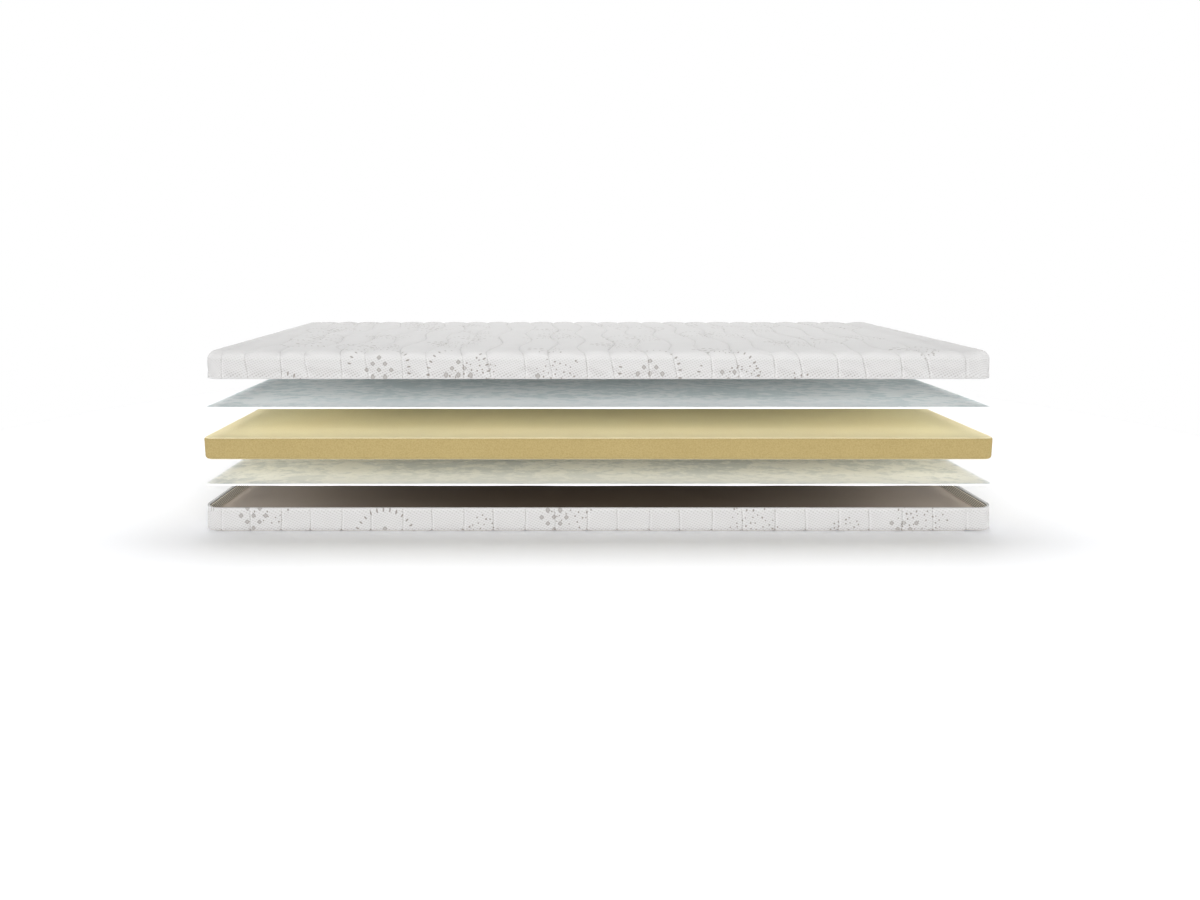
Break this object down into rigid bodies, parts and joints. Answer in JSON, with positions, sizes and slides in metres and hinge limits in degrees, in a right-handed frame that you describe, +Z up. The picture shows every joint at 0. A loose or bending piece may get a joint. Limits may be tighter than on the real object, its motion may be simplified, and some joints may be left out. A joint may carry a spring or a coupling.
{
  "type": "memory foam mattress",
  "caption": "Single memory foam mattress in a two-part quilted cover, with its foam core and felt sheets lifted apart in layers.",
  "frame": {"origin": "centre of the underside, on the surface that the mattress lies on", "axes": "+X along the long side, +Y towards the back where the zip's straight run is, +Z up"},
  "size_m": [2, 0.9021, 0.4529],
  "materials": {
    "quilted_knit": "matte",
    "wadding": "matte",
    "satin_lining": "satin",
    "quilt_backing": "matte",
    "ribbed_band": "matte",
    "hem": "matte",
    "felt": "matte",
    "memory_foam": "matte",
    "zip_tape": "matte",
    "zip_coil": "satin",
    "zip_metal": "satin"
  },
  "bodies": {
    "bottom_cover": {"bottom_outer_fabric": "quilted_knit", "bottom_wadding": "wadding", "bottom_lining": "satin_lining", "bottom_inner_band": "ribbed_band", "bottom_rim_binding": "hem", "bottom_zip_tape": "zip_tape", "bottom_zip_chain": "zip_coil", "bottom_zip_stops": "zip_metal"},
    "lower_sheet": {"lower_felt_sheet": "felt"},
    "foam": {"foam_core": "memory_foam"},
    "upper_sheet": {"upper_felt_sheet": "felt"},
    "top_cover": {"top_outer_fabric": "quilted_knit", "top_wadding": "wadding", "top_lining": "quilt_backing", "top_rim_binding": "hem", "top_zip_tape": "zip_tape", "top_zip_chain": "zip_coil", "top_zip_stops": "zip_metal"},
    "zip_slider": {"zip_slider": "zip_metal"},
    "zip_pull": {"zip_pull_tab": "zip_metal"}
  },
  "joints": [
    {"name": "lower_sheet_lift", "type": "slide", "parent": "bottom_cover", "child": "lower_sheet", "axis": [0, 0, 1], "range_m": [-0.0806, 0]},
    {"name": "foam_lift", "type": "slide", "parent": "lower_sheet", "child": "foam", "axis": [0, 0, 1], "range_m": [-0.0587, 0]},
    {"name": "upper_sheet_lift", "type": "slide", "parent": "foam", "child": "upper_sheet", "axis": [0, 0, 1], "range_m": [-0.0723, 0]},
    {"name": "top_cover_lift", "type": "slide", "parent": "upper_sheet", "child": "top_cover", "axis": [0, 0, 1], "range_m": [-0.1112, 0]},
    {"name": "zip_run", "type": "slide", "parent": "bottom_cover", "child": "zip_slider", "axis": [1, 0, 0], "range_m": [0, 1.8817]},
    {"name": "pull_tab_swing", "type": "hinge", "parent": "zip_slider", "child": "zip_pull", "pos_m": [-0.9337, 0.4502, 0.0606], "axis": [0, 0, -1], "range_deg": [0, 175]}
  ]
}
